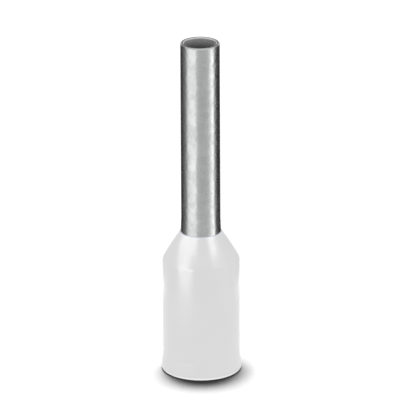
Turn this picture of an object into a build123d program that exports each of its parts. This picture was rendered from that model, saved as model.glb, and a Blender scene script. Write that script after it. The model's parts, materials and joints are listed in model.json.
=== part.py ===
from build123d import *

import os
from math import cos, radians, tan

# An insulated wire ferrule, in millimetres. It stands on its collar's mouth, with the mouth's
# plane at z = 0 and the common axis of both pieces on Z. The bare conductor goes up through the
# collar into the thin metal sleeve, and the wire's insulation stays in the collar's chamber.

# Contact sleeve: a thin drawn tube. Its free stretch stands out of the collar, its root is a
# little wider and sits in the collar's neck, and its lower end is flared to guide the strands in.
sleeve_bore = 1.30
sleeve_wall = 0.15
sleeve_reach = 8.05  # how far the sleeve stands out of the collar
tip_outer_round = 0.06
tip_inner_round = 0.06
root_swell = 0.02  # how much further from the axis the root's wall is than the free stretch's
root_blend = 0.60  # height above the collar over which the free stretch widens to the root
flare_angle = 45.0  # between the flared wall and the axis
flare_diameter = 2.40
flare_bend_radius = 0.20
flare_edge_round = 0.03

# Insulating collar: a moulded cup with a conical shoulder and a neck that grips the sleeve. Its
# wall thins towards the mouth, by the mould's draft, and the mouth is turned out to a foot.
collar_length = 5.93
chamber_bore = 2.60
shoulder_wall = 0.272  # the chamber's wall just below the shoulder
waist_wall = 0.262  # the chamber's wall where it is thinnest, just above the foot
neck_grip = 1.40  # from the collar's top down to the corner where the sleeve flares
neck_land = 0.035  # width of the ring around the sleeve at the collar's top
neck_edge_round = 0.03
shoulder_drop = 1.16
shoulder_swell = 0.035  # how much wider the shoulder is at half its height than a straight cone
shoulder_bend = 8.00
shoulder_round = 0.25
foot_turnout = 0.070  # how much further out the foot is than the waist
foot_height = 0.20  # of the foot's upright band
waist_height = 0.75
waist_bend = 1.00
foot_bend = 0.50
foot_edge_round = 0.15
mouth_lead_in = 0.10
press_clearance = 0.00  # between the sleeve's outer face and the collar, which grips it all round

free_inner_radius = sleeve_bore / 2
free_radius = free_inner_radius + sleeve_wall
root_inner_radius = free_inner_radius + root_swell
root_radius = free_radius + root_swell
chamber_radius = chamber_bore / 2
shoulder_radius = chamber_radius + shoulder_wall
waist_radius = chamber_radius + waist_wall
foot_radius = waist_radius + foot_turnout
flare_corner_z = collar_length - neck_grip
blend_top_z = collar_length + root_blend
tip_z = collar_length + sleeve_reach


def turned(corners):
    """One solid from a closed outline of (radius, height, rounding) corners, turned about Z."""
    points = [(radius, height) for radius, height, rounding in corners]
    roundings = [rounding for radius, height, rounding in corners]
    with BuildPart() as piece:
        with BuildSketch(Plane.XZ):
            with BuildLine():
                FilletPolyline(*points, radius=roundings, close=True)
            make_face()
        revolve(axis=Axis.Z)
    return piece.part


def flare_corner(inset):
    """Where the root turns into its flare, on the face that lies inset inside the outer one."""
    drop = inset * tan(radians(flare_angle) / 2)
    return root_radius - inset, flare_corner_z - drop


def on_flare(radius, inset=0.0):
    """The point of the flare at that radius, on the face that lies inset inside the outer one."""
    corner_radius, corner_z = flare_corner(inset)
    return radius, corner_z - (radius - corner_radius) / tan(radians(flare_angle))


def contact_sleeve():
    """The tube from its rounded tip down to the flare, whose edge is cut square to its wall."""
    flare_radius = flare_diameter / 2
    inner_edge_radius = flare_radius - sleeve_wall * cos(radians(flare_angle))
    return turned([
        (free_radius, tip_z, tip_outer_round),
        (free_inner_radius, tip_z, tip_inner_round),
        (free_inner_radius, blend_top_z, 0.0),
        (root_inner_radius, collar_length, 0.0),
        (*flare_corner(sleeve_wall), flare_bend_radius + sleeve_wall),
        (*on_flare(inner_edge_radius, sleeve_wall), flare_edge_round),
        (*on_flare(flare_radius), flare_edge_round),
        (*flare_corner(0.0), flare_bend_radius),
        (root_radius, collar_length, 0.0),
        (free_radius, blend_top_z, 0.0),
    ])


def insulating_collar():
    """The neck, shoulder, waist and foot outside, and the chamber and the flare's seat inside."""
    grip_radius = root_radius + press_clearance
    neck_radius = grip_radius + neck_land
    middle_radius = (neck_radius + shoulder_radius) / 2 + shoulder_swell
    return turned([
        (grip_radius, collar_length, 0.0),
        (neck_radius, collar_length, neck_edge_round),
        (middle_radius, collar_length - shoulder_drop / 2, shoulder_bend),
        (shoulder_radius, collar_length - shoulder_drop, shoulder_round),
        (waist_radius, waist_height, waist_bend),
        (foot_radius, foot_height, foot_bend),
        (foot_radius, 0.0, foot_edge_round),
        (chamber_radius + mouth_lead_in, 0.0, 0.0),
        (chamber_radius, mouth_lead_in, 0.0),
        (*on_flare(chamber_radius, -press_clearance), 0.0),
        (*flare_corner(-press_clearance), flare_bend_radius - press_clearance),
    ])


os.makedirs("parts", exist_ok=True)
export_step(contact_sleeve(), "parts/contact_sleeve.step")
export_step(insulating_collar(), "parts/insulating_collar.step")
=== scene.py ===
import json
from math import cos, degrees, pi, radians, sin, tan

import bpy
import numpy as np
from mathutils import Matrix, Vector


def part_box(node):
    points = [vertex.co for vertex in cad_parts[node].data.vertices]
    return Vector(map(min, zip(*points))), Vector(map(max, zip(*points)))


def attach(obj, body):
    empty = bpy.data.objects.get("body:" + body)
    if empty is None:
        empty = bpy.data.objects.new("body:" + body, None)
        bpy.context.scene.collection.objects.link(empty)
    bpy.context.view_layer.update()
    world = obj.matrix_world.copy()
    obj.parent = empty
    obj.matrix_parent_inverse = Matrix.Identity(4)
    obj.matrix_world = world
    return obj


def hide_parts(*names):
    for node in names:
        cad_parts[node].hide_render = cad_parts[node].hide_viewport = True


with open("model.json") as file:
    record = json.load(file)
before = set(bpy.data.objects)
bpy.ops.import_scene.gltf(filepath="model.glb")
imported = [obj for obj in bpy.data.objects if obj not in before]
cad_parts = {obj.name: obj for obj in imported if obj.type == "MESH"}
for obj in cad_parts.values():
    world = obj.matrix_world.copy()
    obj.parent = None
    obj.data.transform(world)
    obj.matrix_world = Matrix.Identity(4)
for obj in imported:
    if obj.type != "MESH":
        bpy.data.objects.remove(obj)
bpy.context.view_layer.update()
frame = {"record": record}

# %% [markdown]
# An insulated wire ferrule is two pieces: a thin tinned tube, and a white collar moulded in plastic
# that grips it. It is pushed over the bare end of a stranded wire and crimped. The packed CAD model
# gives the frame: where each piece is and how big it is, in metres. Lengths below are written in
# millimetres, which suit a thing this small, and are turned into metres where a mesh, a lamp or the
# camera is made.

MM = 0.001
sleeve_low, sleeve_high = (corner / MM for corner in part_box("contact_sleeve"))
collar_low, collar_high = (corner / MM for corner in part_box("insulating_collar"))
mount_radius = {
    mount["name"]: mount["dims"]["r_mm"]
    for mount in frame["record"]["mounts"] if "r_mm" in mount["dims"]
}
print("sleeve tip at", round(sleeve_high.z, 3), "mm, collar top at", round(collar_high.z, 3), "mm")
print("radii that the record gives", mount_radius)

# %% [markdown]
# The photograph looks down on the ferrule from about 20 degrees above the horizon, through a long
# lens, so that its sides stay nearly parallel. A camera could be aimed by eye. Here it is placed by
# the numbers that the photograph's outline was measured to give: its height angle, its distance,
# the point it looks at, the width of the view there, and a slight roll.

# %% Camera
camera_elevation = 19.70  # degrees above the horizon
camera_distance = 400.0
camera_roll = 0.28  # degrees that the ferrule leans to the left in the picture
aim = Vector((-0.030, 0.0, 7.245))
view_width = 16.204  # at the aim
sensor_width = 36.0

towards_camera = Vector((0, -cos(radians(camera_elevation)), sin(radians(camera_elevation))))
camera_data = bpy.data.cameras.new("camera")
camera_data.sensor_width = sensor_width
camera_data.lens = sensor_width * camera_distance / view_width
camera_data.clip_start = 0.05
camera_data.clip_end = 5.0
camera = bpy.data.objects.new("camera", camera_data)
level = (-towards_camera).to_track_quat("-Z", "Y").to_matrix().to_4x4()
camera.matrix_world = (
    Matrix.Translation((aim + towards_camera * camera_distance) * MM)
    @ level @ Matrix.Rotation(-radians(camera_roll), 4, "Z")
)
bpy.context.scene.collection.objects.link(camera)
bpy.context.scene.camera = camera
print("lens", round(camera_data.lens, 1), "mm")

# %% [markdown]
# Both pieces are round, so each is one closed outline carried round the Z axis. The outline is
# given by its corners and the rounding of each, as on a workshop drawing. A Bevel modifier could
# round the finished mesh. Rounding the outline first gives each edge its own radius, and normals
# that come from the arcs and not from the faces.

# %% Rounded outlines
def rounded(corners, arc_steps=10, spacing=0.25):
    """Points and outward normals along a closed outline of (radius, height, rounding) corners.

    The outline runs with its inside on the left. A corner's arc starts and ends on the two sides at
    the rounding times the tangent of half the turn, and its centre is one rounding in from them, or
    out where the outline turns the other way. A point of the arc is the centre plus the rounding
    times a normal that turns evenly from one side's to the other's. Straight stretches between arcs
    get points at even steps, no longer than the spacing.
    """
    corners = np.array(corners, float)
    places, rounding = corners[:, :2], corners[:, 2:]
    leaving = np.roll(places, -1, axis=0) - places
    leaving /= np.linalg.norm(leaving, axis=1, keepdims=True)
    arriving = np.roll(leaving, 1, axis=0)
    cross = arriving[:, 0] * leaving[:, 1] - arriving[:, 1] * leaving[:, 0]
    turn = np.arctan2(cross, (arriving * leaving).sum(axis=1))[:, None]
    normal = np.stack([arriving[:, 1], -arriving[:, 0]], axis=1)
    start = places - arriving * rounding * np.tan(abs(turn) / 2)
    centre = start - np.sign(turn) * rounding * normal
    angle = turn * np.linspace(0, 1, arc_steps + 1)
    arc_normals = np.stack([
        normal[:, :1] * np.cos(angle) - normal[:, 1:] * np.sin(angle),
        normal[:, :1] * np.sin(angle) + normal[:, 1:] * np.cos(angle),
    ], axis=2)
    arcs = centre[:, None] + (np.sign(turn) * rounding)[:, None] * arc_normals
    points, normals = [], []
    for here, following in zip(range(len(arcs)), np.roll(range(len(arcs)), -1)):
        gap = arcs[following, 0] - arcs[here, -1]
        steps = max(1, int(np.ceil(np.linalg.norm(gap) / spacing)))
        share = np.linspace(0, 1, steps, endpoint=False)[1:, None]
        points += [arcs[here], arcs[here, -1] + share * gap]
        normals += [arc_normals[here], np.repeat(arc_normals[here, -1:], steps - 1, axis=0)]
    return np.concatenate(points), np.concatenate(normals)


square = [(1.0, 0.0, 0.1), (2.0, 0.0, 0.1), (2.0, 1.0, 0.1), (1.0, 1.0, 0.1)]
print("a rounded square has", len(rounded(square)[0]), "outline points")

# %% [markdown]
# A Screw modifier could carry the outline round the axis. Worked out as arrays it is a few lines
# more, and it keeps the exact normals, so that reflections run smoothly over the metal.

# %% Turned surfaces
round_columns = 256


def turned(name, corners, columns=round_columns):
    """A mesh object whose outline of corners, in millimetres, is carried round the Z axis.

    A point at radius r and height h becomes (r cos a, r sin a, h) at each of the evenly spaced
    angles a, and its normal turns with it. Each face joins two neighbours on the outline at two
    neighbouring angles, and the last of both joins the first, so the surface has no seam or pole.
    """
    points, normals = rounded(corners)
    angle = np.linspace(0, 2 * pi, columns, endpoint=False)
    around = np.stack([np.cos(angle), np.sin(angle)], axis=1)

    def carried(outline):
        flat = outline[:, None, :1] * around
        height = np.repeat(outline[:, None, 1:], columns, axis=1)
        return np.concatenate([flat, height], axis=2).reshape(-1, 3)

    index = np.arange(len(points) * columns).reshape(len(points), columns)
    beside = np.roll(index, -1, axis=1)
    above, above_beside = np.roll(index, -1, axis=0), np.roll(beside, -1, axis=0)
    faces = np.stack([index, beside, above_beside, above], axis=2).reshape(-1, 4)
    mesh = bpy.data.meshes.new(name)
    mesh.from_pydata(carried(points) * MM, [], faces.tolist())
    mesh.polygons.foreach_set("use_smooth", np.ones(len(faces), bool))
    mesh.normals_split_custom_set_from_vertices(carried(normals).tolist())
    piece = bpy.data.objects.new(name, mesh)
    bpy.context.scene.collection.objects.link(piece)
    print(name, len(points), "outline points,", 2 * len(faces), "triangles")
    return piece


print("turned surfaces have", round_columns, "columns")

# %% [markdown]
# The contact sleeve is drawn copper tube with a thin coat of tin. Its cut tip is deburred, so both
# edges are slightly round. Down in the collar its root is a little wider, and its end is flared into
# a funnel. The packed node has this form, but with few facets, and a mirror-like tube shows every
# facet as a step in its reflections. So the same outline is turned again with a fine mesh.

# %% Sizes of the sleeve
sleeve_wall = 0.15
root_swell = 0.02
root_blend = 0.60
flare_angle = 45.0
flare_diameter = 2.40
flare_bend_radius = 0.20
neck_grip = 1.40
tip_rounding = 0.06
flare_edge_rounding = 0.03
hair_rounding = 0.01  # of edges that the CAD model keeps sharp
soft_rounding = 1.00  # where two nearly straight stretches meet

bore_radius = mount_radius["conductor_bore"]
free_radius = mount_radius["contact_pin"]
root_radius = free_radius + root_swell
tip = sleeve_high.z
collar_top = collar_high.z
blend_top = collar_top + root_blend
flare_corner = collar_top - neck_grip
print("the sleeve stands", round(tip - collar_top, 3), "mm out of the collar")

# %% [markdown]
# The tube's lower end is pressed out over a cone. Its wall keeps its thickness there, so the corner
# of the inner face lies lower than that of the outer one. Two functions work out both faces, and the
# collar uses them again for its seat, which follows the flare face to face.

# %% Flare
def bend(inset):
    """The corner where the root turns into the flare, on the face inset inside the outer one.

    It lies nearer to the axis by the inset, and lower by the inset times the tangent of half the
    flare's angle.
    """
    return root_radius - inset, flare_corner - inset * tan(radians(flare_angle) / 2)


def on_flare(radius, inset):
    """The flare's point at that radius: below the bend by the extra radius over the tangent."""
    bend_radius, bend_height = bend(inset)
    return radius, bend_height - (radius - bend_radius) / tan(radians(flare_angle))


flare_radius = flare_diameter / 2
flare_inner_radius = flare_radius - sleeve_wall * cos(radians(flare_angle))
print("the flare's edge is at height", round(on_flare(flare_radius, 0.0)[1], 3), "mm")

# %% Contact sleeve
drawn_sleeve = turned("drawn_sleeve", [
    (free_radius, tip, tip_rounding),
    (bore_radius, tip, tip_rounding),
    (bore_radius, blend_top, soft_rounding),
    (bore_radius + root_swell, collar_top, soft_rounding),
    (*bend(sleeve_wall), flare_bend_radius + sleeve_wall),
    (*on_flare(flare_inner_radius, sleeve_wall), flare_edge_rounding),
    (*on_flare(flare_radius, 0.0), flare_edge_rounding),
    (*bend(0.0), flare_bend_radius),
    (root_radius, collar_top, soft_rounding),
    (free_radius, blend_top, soft_rounding),
])
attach(drawn_sleeve, "root")
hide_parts("contact_sleeve")

# %% [markdown]
# The collar is moulded in polypropylene. Outside it has a small flat ring round the sleeve, a
# conical shoulder, a wall that thins slightly towards the mouth, and a mouth turned out to a foot.
# Inside, the sleeve's flare sits in a funnel at the top of the chamber that takes the wire's
# insulation. It is one moulding, so it is one outline as well.

# %% Insulating collar
shoulder_wall = 0.272
waist_wall = 0.262
neck_land = 0.035
neck_edge_rounding = 0.03
shoulder_drop = 1.16
shoulder_swell = 0.035
shoulder_bend = 8.00
shoulder_rounding = 0.25
waist_height = 0.75
waist_bend = 1.00
foot_height = 0.20
foot_bend = 0.50
foot_edge_rounding = 0.15
mouth_lead_in = 0.10

chamber_radius = mount_radius["wire_entry"]
shoulder_radius = chamber_radius + shoulder_wall
neck_radius = root_radius + neck_land
middle_radius = (neck_radius + shoulder_radius) / 2 + shoulder_swell
foot_radius = collar_high.x
moulded_collar = turned("moulded_collar", [
    (chamber_radius + mouth_lead_in, 0.0, hair_rounding),
    (foot_radius, 0.0, foot_edge_rounding),
    (foot_radius, foot_height, foot_bend),
    (chamber_radius + waist_wall, waist_height, waist_bend),
    (shoulder_radius, collar_top - shoulder_drop, shoulder_rounding),
    (middle_radius, collar_top - shoulder_drop / 2, shoulder_bend),
    (neck_radius, collar_top, neck_edge_rounding),
    (root_radius, collar_top, hair_rounding),
    (*bend(0.0), flare_bend_radius),
    (*on_flare(chamber_radius, 0.0), hair_rounding),
    (chamber_radius, mouth_lead_in, hair_rounding),
])
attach(moulded_collar, "root")
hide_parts("insulating_collar")

# %% [markdown]
# A finish is a graph of shader nodes. Written as node calls it is long and hard to follow, so one
# small class wraps a socket: sums and products of wrapped sockets become Math nodes, and one method
# makes any other node.

# %% Signals
class Signal:
    """An output of a shader node. Arithmetic on signals adds Math nodes to the same graph."""

    def __init__(self, tree, socket=None):
        self.tree = tree
        self.socket = socket

    def node(self, kind, settings=None, inputs=None, output=0):
        """Adds a node of that kind and returns one of its outputs as a signal.

        The settings are set first, and stops are those of a ramp. The inputs are values or
        signals, by the name or number of their socket.
        """
        made = self.tree.nodes.new(kind)
        for name, setting in (settings or {}).items():
            if name == "stops":
                elements = made.color_ramp.elements
                for place, level in setting[len(elements):]:
                    elements.new(place)
                for element, (place, level) in zip(elements, setting):
                    element.position = place
                    element.color = (level, level, level, 1)
            else:
                setattr(made, name, setting)
        for name, value in (inputs or {}).items():
            if isinstance(value, Signal):
                self.tree.links.new(value.socket, made.inputs[name])
            else:
                made.inputs[name].default_value = value
        return Signal(self.tree, made.outputs[output] if made.outputs else None)

    def math(self, operation, *values):
        """What a Math node of that operation gives for the values, in their order."""
        return self.node("ShaderNodeMath", {"operation": operation}, dict(enumerate(values)))

    def mixed(self, low, high):
        """A colour that goes from low to high as this signal goes from 0 to 1."""
        inputs = {"Factor": self, 6: low, 7: high}
        return self.node("ShaderNodeMix", {"data_type": "RGBA"}, inputs, output=2)

    def between(self, start, end, low=0.0, high=1.0):
        """Low where this signal is at start, high where it is at end, smooth between, level beyond."""
        inputs = {"Value": self, "From Min": start, "From Max": end, "To Min": low, "To Max": high}
        return self.node("ShaderNodeMapRange", {"interpolation_type": "SMOOTHSTEP"}, inputs)

    def __add__(self, other):
        return self.math("ADD", self, other)

    def __sub__(self, other):
        return self.math("SUBTRACT", self, other)

    def __rsub__(self, other):
        return self.math("SUBTRACT", other, self)

    def __mul__(self, other):
        return self.math("MULTIPLY", self, other)

    __radd__ = __add__
    __rmul__ = __mul__


print("a signal can be", [name for name in vars(Signal) if not name.startswith("__")])

# %% [markdown]
# Both finishes begin alike, with the point on the piece. It comes from Object coordinates, so the
# patterns stay on the piece, and because the pieces' objects sit at the origin, its z is the height
# above the table. A texture painted on the piece would need an unwrapped surface. Noise in space
# needs none and has no seam or direction, and a Bump node turns it into tiny slopes without faces.

# %% Helpers for the finishes
noise_low, noise_high = 0.3, 0.7  # nearly all of a noise lies between these


def new_material(name):
    """An empty material and the signal that its graph starts from."""
    material = bpy.data.materials.new(name)
    material.use_nodes = True
    material.node_tree.nodes.clear()
    return material, Signal(material.node_tree)


def grey(level):
    """A colour socket's value for that brightness, where 1 is white."""
    return (level, level, level, 1)


def place_of(graph):
    """The point of the surface that is looked at, in metres from the object's origin."""
    return graph.node("ShaderNodeTexCoord", output="Object")


def along(axis, place):
    """The place's coordinate on that axis: X, Y or Z."""
    return place.node("ShaderNodeSeparateXYZ", inputs={"Vector": place}, output=axis)


def noise(place, size, detail):
    """Soft lumps of about that size in millimetres, as a signal from 0 to 1."""
    return place.node("ShaderNodeTexNoise", inputs={
        "Vector": place, "Scale": 1 / (size * MM), "Detail": detail})


def bumped(height, depth):
    """The normal of a surface that the height signal, at 1, raises by that many millimetres."""
    return height.node("ShaderNodeBump", inputs={
        "Height": height, "Strength": 1.0, "Distance": depth * MM})


print("a mid grey is", grey(0.5))

# %% [markdown]
# Electroplated tin is a satin white metal. The plating follows the drawn tube's surface, which is
# slightly uneven like orange peel, so the edges of the reflections waver, and it is a little lighter
# and smoother in some places than in others, so the bright bands are mottled. The finish is a metal
# with two sizes of noise in its height, its tone and its roughness. The lip, where the tube was cut,
# is painted a shade darker, as painted shade on its rounded edge. The plating in the bore is thin,
# so it is less metallic and rougher, and its colour is painted darker further down, as painted shade
# deep in the tube.

# %% Tinned copper
peel_size, patch_size = 0.22, 0.50
peel_height = 0.009
patch_share = 0.7  # of the patches in that height, where the peel's is 1
dark_tin = (0.62, 0.635, 0.63, 1)
light_tin = (0.76, 0.775, 0.77, 1)
tin_roughness = 0.31
grain_polish = 0.12  # how much smoother the lightest tin is
lip_start, lip_full = 0.07, 0.03  # out from the bore, and down from the tip
# painted shade: the lip's darker tone, and the bore's tone deep inside
lip_painted_shade = 0.50
bore_tone_at_tip, bore_painted_shade = 0.66, 0.24
bore_shade_depth = 0.50  # depth at which the bore's painted shade is full
bore_metal = 0.55
bore_roughening = 0.2


def tinned_copper():
    """Tin by noise outside, painted shade on the lip by height, and the bore by distance from the
    axis.

    That distance is the square root of x squared plus y squared. Down the bore, painted shade
    darkens its colour.
    """
    material, graph = new_material("tinned_copper")
    place = place_of(graph)
    x, y, height = along("X", place), along("Y", place), along("Z", place)
    axis_distance = graph.math("SQRT", x * x + y * y)
    bore = axis_distance.between((bore_radius + lip_start) * MM, (bore_radius + lip_full) * MM)
    # painted shade: the bore gets darker further down
    bore_shade_fade = height.between((tip - bore_shade_depth) * MM, tip * MM)
    # painted shade on the lip's rounded edge
    lip = height.between((tip - lip_start) * MM, (tip - lip_full) * MM)

    peel = noise(place, peel_size, detail=1.0)
    patches = noise(place, patch_size, detail=2.0)
    grain = (peel + patches).between(2 * noise_low, 2 * noise_high)
    outer_tone = lip.mixed(grain.mixed(dark_tin, light_tin), grey(lip_painted_shade))
    bore_tone = bore_shade_fade.mixed(grey(bore_painted_shade), grey(bore_tone_at_tip))
    shader = graph.node("ShaderNodeBsdfPrincipled", inputs={
        "Base Color": bore.mixed(outer_tone, bore_tone),
        "Metallic": bore.between(0, 1, 1.0, bore_metal),
        "Roughness": tin_roughness - grain * grain_polish + bore * bore_roughening,
        "Normal": bumped(peel + patches * patch_share, peel_height)})
    graph.node("ShaderNodeOutputMaterial", inputs={"Surface": shader})
    return material


drawn_sleeve.data.materials.append(tinned_copper())
print("tinned", drawn_sleeve.name)

# %% [markdown]
# The collar's white is a mid white with a soft gloss. The ring round the sleeve looks lighter and
# faintly blue, and the foot's lower edge nearly white, from the light on their rounded edges and the
# light that the thin moulding lets through. True scattering under the surface could show the latter,
# but it is slow and the model's export can't bake it. So both places get a lighter colour by their
# height, which is painted light, and the flow of the melt is a faint change of tone and gloss.

# %% White polypropylene
flow_size, skin_size = 1.50, 0.15
skin_height = 0.0005
dark_white, light_white = 0.745, 0.755
glossy, less_glossy = 0.20, 0.24  # roughness of the dark and the light white
ring_start, ring_full = 0.09, 0.02  # down from the collar's top, where the ring's painted light starts and is full
# painted light: the lighter colours of the ring round the sleeve and of the foot's lower edge
ring_painted_light = (0.78, 0.78, 0.84, 1)
foot_start, foot_full = 0.15, 0.09  # up from the table, where the foot's painted light starts and is full
foot_painted_light = 0.95
gloss_level = 0.2  # where 0.5 is what a refractive index of 1.5 gives


def white_polypropylene():
    """A white by noise, with painted light on the ring and the foot by height."""
    material, graph = new_material("white_polypropylene")
    place = place_of(graph)
    height = along("Z", place)
    # painted light: masks of the lighter ring and foot
    ring = height.between((collar_top - ring_start) * MM, (collar_top - ring_full) * MM)
    foot = height.between(foot_start * MM, foot_full * MM)
    flow = noise(place, flow_size, detail=2.0)
    skin = noise(place, skin_size, detail=2.0)
    body = flow.between(noise_low, noise_high).mixed(grey(dark_white), grey(light_white))
    shader = graph.node("ShaderNodeBsdfPrincipled", inputs={
        "Base Color": foot.mixed(ring.mixed(body, ring_painted_light), grey(foot_painted_light)),
        "Roughness": flow.between(noise_low, noise_high, glossy, less_glossy),
        "Specular IOR Level": gloss_level,
        "Normal": bumped(skin, skin_height)})
    graph.node("ShaderNodeOutputMaterial", inputs={"Surface": shader})
    return material


moulded_collar.data.materials.append(white_polypropylene())
print("finished", moulded_collar.name)

# %% [markdown]
# The ferrule stands in a tent of white cloth, which gives the soft light without hard shadows that
# such a small glossy thing needs. The world is the tent: it lights everything evenly at a level where
# a colour looks as it is written, and the camera, the metal and the glossy plastic see it as white.

# %% World
tent_light = 0.93  # on matt surfaces, where 1 would show a colour as it is written

world = bpy.data.worlds.new("tent")
world.use_nodes = True
world.node_tree.nodes.clear()
world.cycles.sampling_method = "NONE"
graph = Signal(world.node_tree)
seen = sum(
    graph.node("ShaderNodeLightPath", output=ray)
    for ray in ("Is Camera Ray", "Is Glossy Ray", "Is Transmission Ray")
)
shown = graph.math("MINIMUM", seen, 1.0)
background = graph.node("ShaderNodeBackground", inputs={
    "Color": grey(1.0), "Strength": shown * (1 - tent_light) + tent_light})
graph.node("ShaderNodeOutputWorld", inputs={"Surface": background})
bpy.context.scene.world = world
bpy.context.scene.view_settings.view_transform = "Standard"
print("tent light", tent_light)

# %% [markdown]
# The table is white. Under the front of the foot it is nearly black, and the dark fades out over a
# millimetre and a half, while beside the foot there is a narrow soft halo, stronger on the right.
# Even light from all sides leaves only a faint shadow. So the paper is grey, and one wide lamp high
# behind the ferrule, which shines on the table alone, lights it up to white and leaves the collar's
# shadow in front. The rest of the dark is painted shadow in the paper's colour: two Ambient Occlusion
# nodes, one turned towards the back and one upwards, each find how much of the light from there the
# collar hides, and the paper is darker by that. Seen from below the paper is clear, so that the
# underside can be looked at.

# %% Table
table_size = 2000.0
lit_paper = 0.25
shaded_paper = 0.04
sky_samples = 48
backwards, reach_back = (0.0, 1.0, 0.35), 3.0
shaded_behind, clear_behind = 0.42, 0.68  # open shares of the sky behind
upwards, reach_up = (-0.3, 0.25, 1.0), 1.1
shaded_above, clear_above = 0.35, 0.98  # open shares of the sky above
light_left_above = 0.45  # where the sky above is shaded


def open_sky(graph, direction, reach):
    """How much of the half sky round that direction the collar leaves open within the reach."""
    towards = graph.node("ShaderNodeCombineXYZ", inputs=dict(zip("XYZ", direction)))
    return graph.node("ShaderNodeAmbientOcclusion", {"samples": sky_samples}, {
        "Distance": reach * MM, "Normal": towards}, output="AO")


def table_paper():
    """Grey paper with painted shadow, darker by how open it is to the back times how open to above."""
    material, graph = new_material("table_paper")
    light_behind = open_sky(graph, backwards, reach_back).between(shaded_behind, clear_behind)
    light_above = open_sky(graph, upwards, reach_up).between(
        shaded_above, clear_above, light_left_above, 1.0)
    # painted shadow: the paper's colour is darker where the collar hides the sky
    paper = (light_behind * light_above).mixed(grey(shaded_paper), grey(lit_paper))
    matt = graph.node("ShaderNodeBsdfDiffuse", inputs={"Color": paper})
    clear = graph.node("ShaderNodeBsdfTransparent")
    from_below = graph.node("ShaderNodeNewGeometry", output="Backfacing")
    one_sided = graph.node("ShaderNodeMixShader", inputs={0: from_below, 1: matt, 2: clear})
    graph.node("ShaderNodeOutputMaterial", inputs={"Surface": one_sided})
    return material


half = table_size / 2 * MM
mesh = bpy.data.meshes.new("table")
mesh.from_pydata([(-half, -half, 0), (half, -half, 0), (half, half, 0), (-half, half, 0)],
                 [], [(0, 1, 2, 3)])
mesh.materials.append(table_paper())
table = bpy.data.objects.new("table", mesh)
table.visible_diffuse = False
table.visible_shadow = False
bpy.context.scene.collection.objects.link(table)
print("table", table_size, "mm across")

# %% [markdown]
# A polished tube mirrors all that stands round it, so its look is made by its surroundings. A
# photographer sets white, grey and black cards close round such a thing. Here the cards are one ring
# whose brightness goes by the direction from the ferrule, and only reflections see it: a white card
# on the left, a narrower and brighter one on the right, grey between them and black behind, with a
# grey one at the very back for the tube's far side. Two more rings above it are for the tip's lip,
# which is turned upwards and mirrors what stands higher.

# %% Cards for the metal
ring_radius = 11.5
black = 0.035
cards = [  # degrees round from the camera's side, positive to the right, and brightness
    (-180, 0.50), (-160, 0.50), (-150, black), (-122, black), (-114, 0.13), (-93, 0.18),
    (-81, 0.56), (-73, 0.96), (-50, 1.12), (-27, 1.10), (-20, 0.60), (0, 0.50), (30, 0.51),
    (44, 0.57), (56, 0.82), (63, 1.18), (79, 1.62), (85, 0.56), (98, 0.12), (111, black),
    (150, black), (160, 0.50), (180, 0.50),
]
rim_cards = [
    (-180, 0.20), (-174, 0.20), (-168, 0.95), (-138, 0.95), (-130, 0.18), (-100, 0.18),
    (-80, 1.00), (80, 1.00), (100, 0.18), (130, 0.18), (138, 0.95), (168, 0.95), (174, 0.20),
    (180, 0.20),
]
top_cards = [
    (-180, 0.18), (-142, 0.18), (-130, 0.70), (-80, 1.00), (80, 1.00), (130, 1.10), (142, 0.18),
    (180, 0.18),
]
print(len(cards), "stops on the ring of cards")

# %% [markdown]
# Each ring is a band of glowing faces, and a ramp turns the direction of a point on it into its
# brightness. The world could carry the same pattern. A ring of its own is easier to keep away from
# the matt light on the plastic and the table: its ray visibility leaves it to reflections alone.

# %% Rings of cards
ring_columns = 96


def card_ring(name, stops, low, high):
    """An upright ring of light from the low height to the high one, seen by reflections alone.

    Its brightness at a point x, y goes by the angle whose tangent is x over -y, so 0 is the
    camera's side and positive angles are to the right.
    """
    brightest = max(brightness for direction, brightness in stops)
    material, graph = new_material(name)
    place = place_of(graph)
    direction = graph.math("ARCTAN2", along("X", place), along("Y", place) * -1.0)
    ramp = [(degree / 360 + 0.5, brightness / brightest) for degree, brightness in stops]
    light = graph.node("ShaderNodeValToRGB", {"stops": ramp}, {
        "Fac": direction * (0.5 / pi) + 0.5})
    glow = graph.node("ShaderNodeEmission", inputs={"Color": light, "Strength": brightest})
    graph.node("ShaderNodeOutputMaterial", inputs={"Surface": glow})
    material.cycles.emission_sampling = "NONE"

    angle = np.linspace(0, 2 * pi, ring_columns, endpoint=False)
    circle = ring_radius * np.stack([np.cos(angle), np.sin(angle)], axis=1)
    points = np.concatenate([
        np.insert(circle, 2, low, axis=1), np.insert(circle, 2, high, axis=1)]) * MM
    index = np.arange(ring_columns)
    beside = np.roll(index, -1)
    faces = np.stack([index, beside, beside + ring_columns, index + ring_columns], axis=1)
    mesh = bpy.data.meshes.new(name)
    mesh.from_pydata(points, [], faces.tolist())
    mesh.materials.append(material)
    ring = bpy.data.objects.new(name, mesh)
    ring.visible_camera = ring.visible_diffuse = False
    ring.visible_transmission = ring.visible_shadow = False
    bpy.context.scene.collection.objects.link(ring)
    print(name, "from", low, "to", high, "mm")


card_ring("cards", cards, low=0.0, high=12.5)
card_ring("rim_cards", rim_cards, low=12.5, high=19.0)
card_ring("top_cards", top_cards, low=19.0, high=28.0)

# %% [markdown]
# The lamps each do one thing, which light linking allows: a lamp lights only the pieces of one
# collection, and only those of another shade it. The wide lamp over the table is a sun with a large
# disc, and the collar alone shades it, because the thin tube would draw a streak across the paper.

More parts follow.
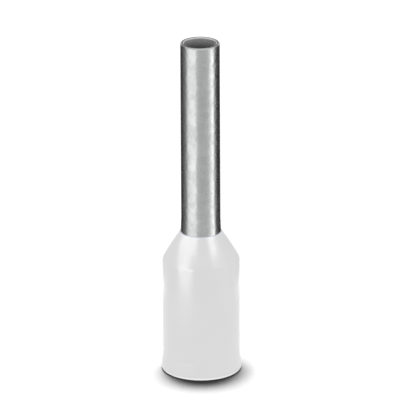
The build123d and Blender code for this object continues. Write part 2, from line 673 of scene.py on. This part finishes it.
# %% Lamp over the table
def aimed(light, azimuth, elevation, distance, target):
    """Places a lamp at that direction and distance from the target, facing it."""
    a, e = radians(azimuth), radians(elevation)
    away = Vector((sin(a) * cos(e), -cos(a) * cos(e), sin(e)))
    lamp = bpy.data.objects.new(light.name, light)
    turn = (-away).to_track_quat("-Z", "Y").to_matrix().to_4x4()
    lamp.matrix_world = Matrix.Translation((Vector(target) + away * distance) * MM) @ turn
    lamp.visible_camera = False
    bpy.context.scene.collection.objects.link(lamp)
    return lamp


def group_of(piece, use):
    """A collection that holds that piece alone, for a lamp to light or to be shaded by."""
    group = bpy.data.collections.new(piece.name + use)
    group.objects.link(piece)
    return group


table_light = 3.7
lamp_width = 20.0  # degrees of the sky

light = bpy.data.lights.new("overhead", "SUN")
light.energy = table_light * pi
light.angle = radians(lamp_width)
overhead = aimed(light, azimuth=184, elevation=77.5, distance=100, target=(0, 0, 5))
overhead.light_linking.receiver_collection = group_of(table, "_lit")
overhead.light_linking.blocker_collection = group_of(moulded_collar, "_shading")
print("table's lamp", round(degrees(light.angle)), "degrees wide")

# %% [markdown]
# Bright softboxes make the highlights on the collar's gloss. Plastic mirrors far more at a glancing
# angle, so from the side or from behind a bright box would wash the collar's edge out to white. A
# photographer shades it with barn doors. The same is done here: two upright flags close to the
# collar keep each bright box to the part that faces it. A dimmer box would do too, but the highlight
# would then be too weak from the front.

# %% Barn doors
door_outline = [  # radius and height, close along the collar's wall, shoulder and the sleeve
    (1.65, 2.5), (1.65, 4.8), (1.00, 6.0), (0.90, 16.0), (8.0, 16.0), (8.0, 2.5),
]


def barn_doors(name, azimuth, opening):
    """Two upright flags at that opening in degrees to either side of the azimuth.

    Only shadow rays see them. The outline's point at radius r and height h is, on the flag at the
    angle a, (r sin a, -r cos a, h).
    """
    outline = np.array(door_outline)
    points = []
    for side in (-1, 1):
        a = radians(azimuth + side * opening)
        points.append(np.stack([
            outline[:, 0] * sin(a), -outline[:, 0] * cos(a), outline[:, 1]], axis=1))
    mesh = bpy.data.meshes.new(name)
    count = len(door_outline)
    mesh.from_pydata(np.concatenate(points) * MM, [], [range(count), range(count, 2 * count)])
    doors = bpy.data.objects.new(name, mesh)
    doors.visible_camera = doors.visible_diffuse = False
    doors.visible_glossy = doors.visible_transmission = False
    bpy.context.scene.collection.objects.link(doors)
    return doors


print("barn doors reach from", door_outline[0][1], "to", door_outline[-2][1], "mm above the table")

# %% [markdown]
# A wide high softbox on each side makes the broad highlight of the conical shoulder, and one more
# at each side carries it out to the edge. Below on the left, two narrower ones reach down to the
# table and make the long faint highlight of the upright wall. Weak ones behind keep the collar's
# outline as light as its middle. Cards could do this too, but an area lamp needs no mesh and gives
# less noise. The collar's gloss alone sees them, so its colour and the metal's reflections stay.

# %% Softboxes
def softbox(name, azimuth, distance, width, low, high, radiance, opening=None):
    """An upright rectangle of light from the low height to the high one, for the collar's gloss.

    A flat lamp's power is its radiance times pi times its area. The opening is that of its doors.
    """
    light = bpy.data.lights.new(name + "_softbox", "AREA")
    light.shape = "RECTANGLE"
    light.size = width * MM
    light.size_y = (high - low) * MM
    light.energy = radiance * pi * light.size * light.size_y
    lamp = aimed(light, azimuth, 0, distance, (0, 0, (low + high) / 2))
    lamp.visible_diffuse = False
    lamp.light_linking.receiver_collection = collar_gloss
    # A glossy ray finds a lamp by itself, with less noise, unless the ring of cards is in its way.
    light.cycles.use_multiple_importance_sampling = distance < ring_radius
    if opening:
        shading = group_of(moulded_collar, "_" + light.name)
        shading.objects.link(drawn_sleeve)
        shading.objects.link(barn_doors(name + "_doors", azimuth, opening))
        lamp.light_linking.blocker_collection = shading


collar_gloss = group_of(moulded_collar, "_gloss")
softbox("left_upper", -48, 11.5, width=12.6, low=15.0, high=21.4, radiance=13.5, opening=44)
softbox("left_middle", -52, 11.5, width=6.4, low=8.0, high=15.0, radiance=12.5, opening=42)
softbox("left_lower", -46, 11.5, width=8.2, low=0.4, high=8.0, radiance=13.0, opening=42)
softbox("left_edge", -95, 11.5, width=10.0, low=10.4, high=21.4, radiance=12.0, opening=62)
softbox("right", 51.5, 20, width=8.0, low=19.0, high=30.6, radiance=15.5, opening=44)
softbox("right_edge", 84, 20, width=16.0, low=19.8, high=30.8, radiance=14.0, opening=62)
softbox("left_back", -138, 9.0, width=13.0, low=0.2, high=12.4, radiance=0.78)
softbox("right_back", 132, 9.0, width=12.0, low=0.2, high=12.4, radiance=0.65)
print("softboxes", [light.name for light in bpy.data.lights if light.type == "AREA"])

# %% [markdown]
# The visual model has to stay inside the CAD model's box.
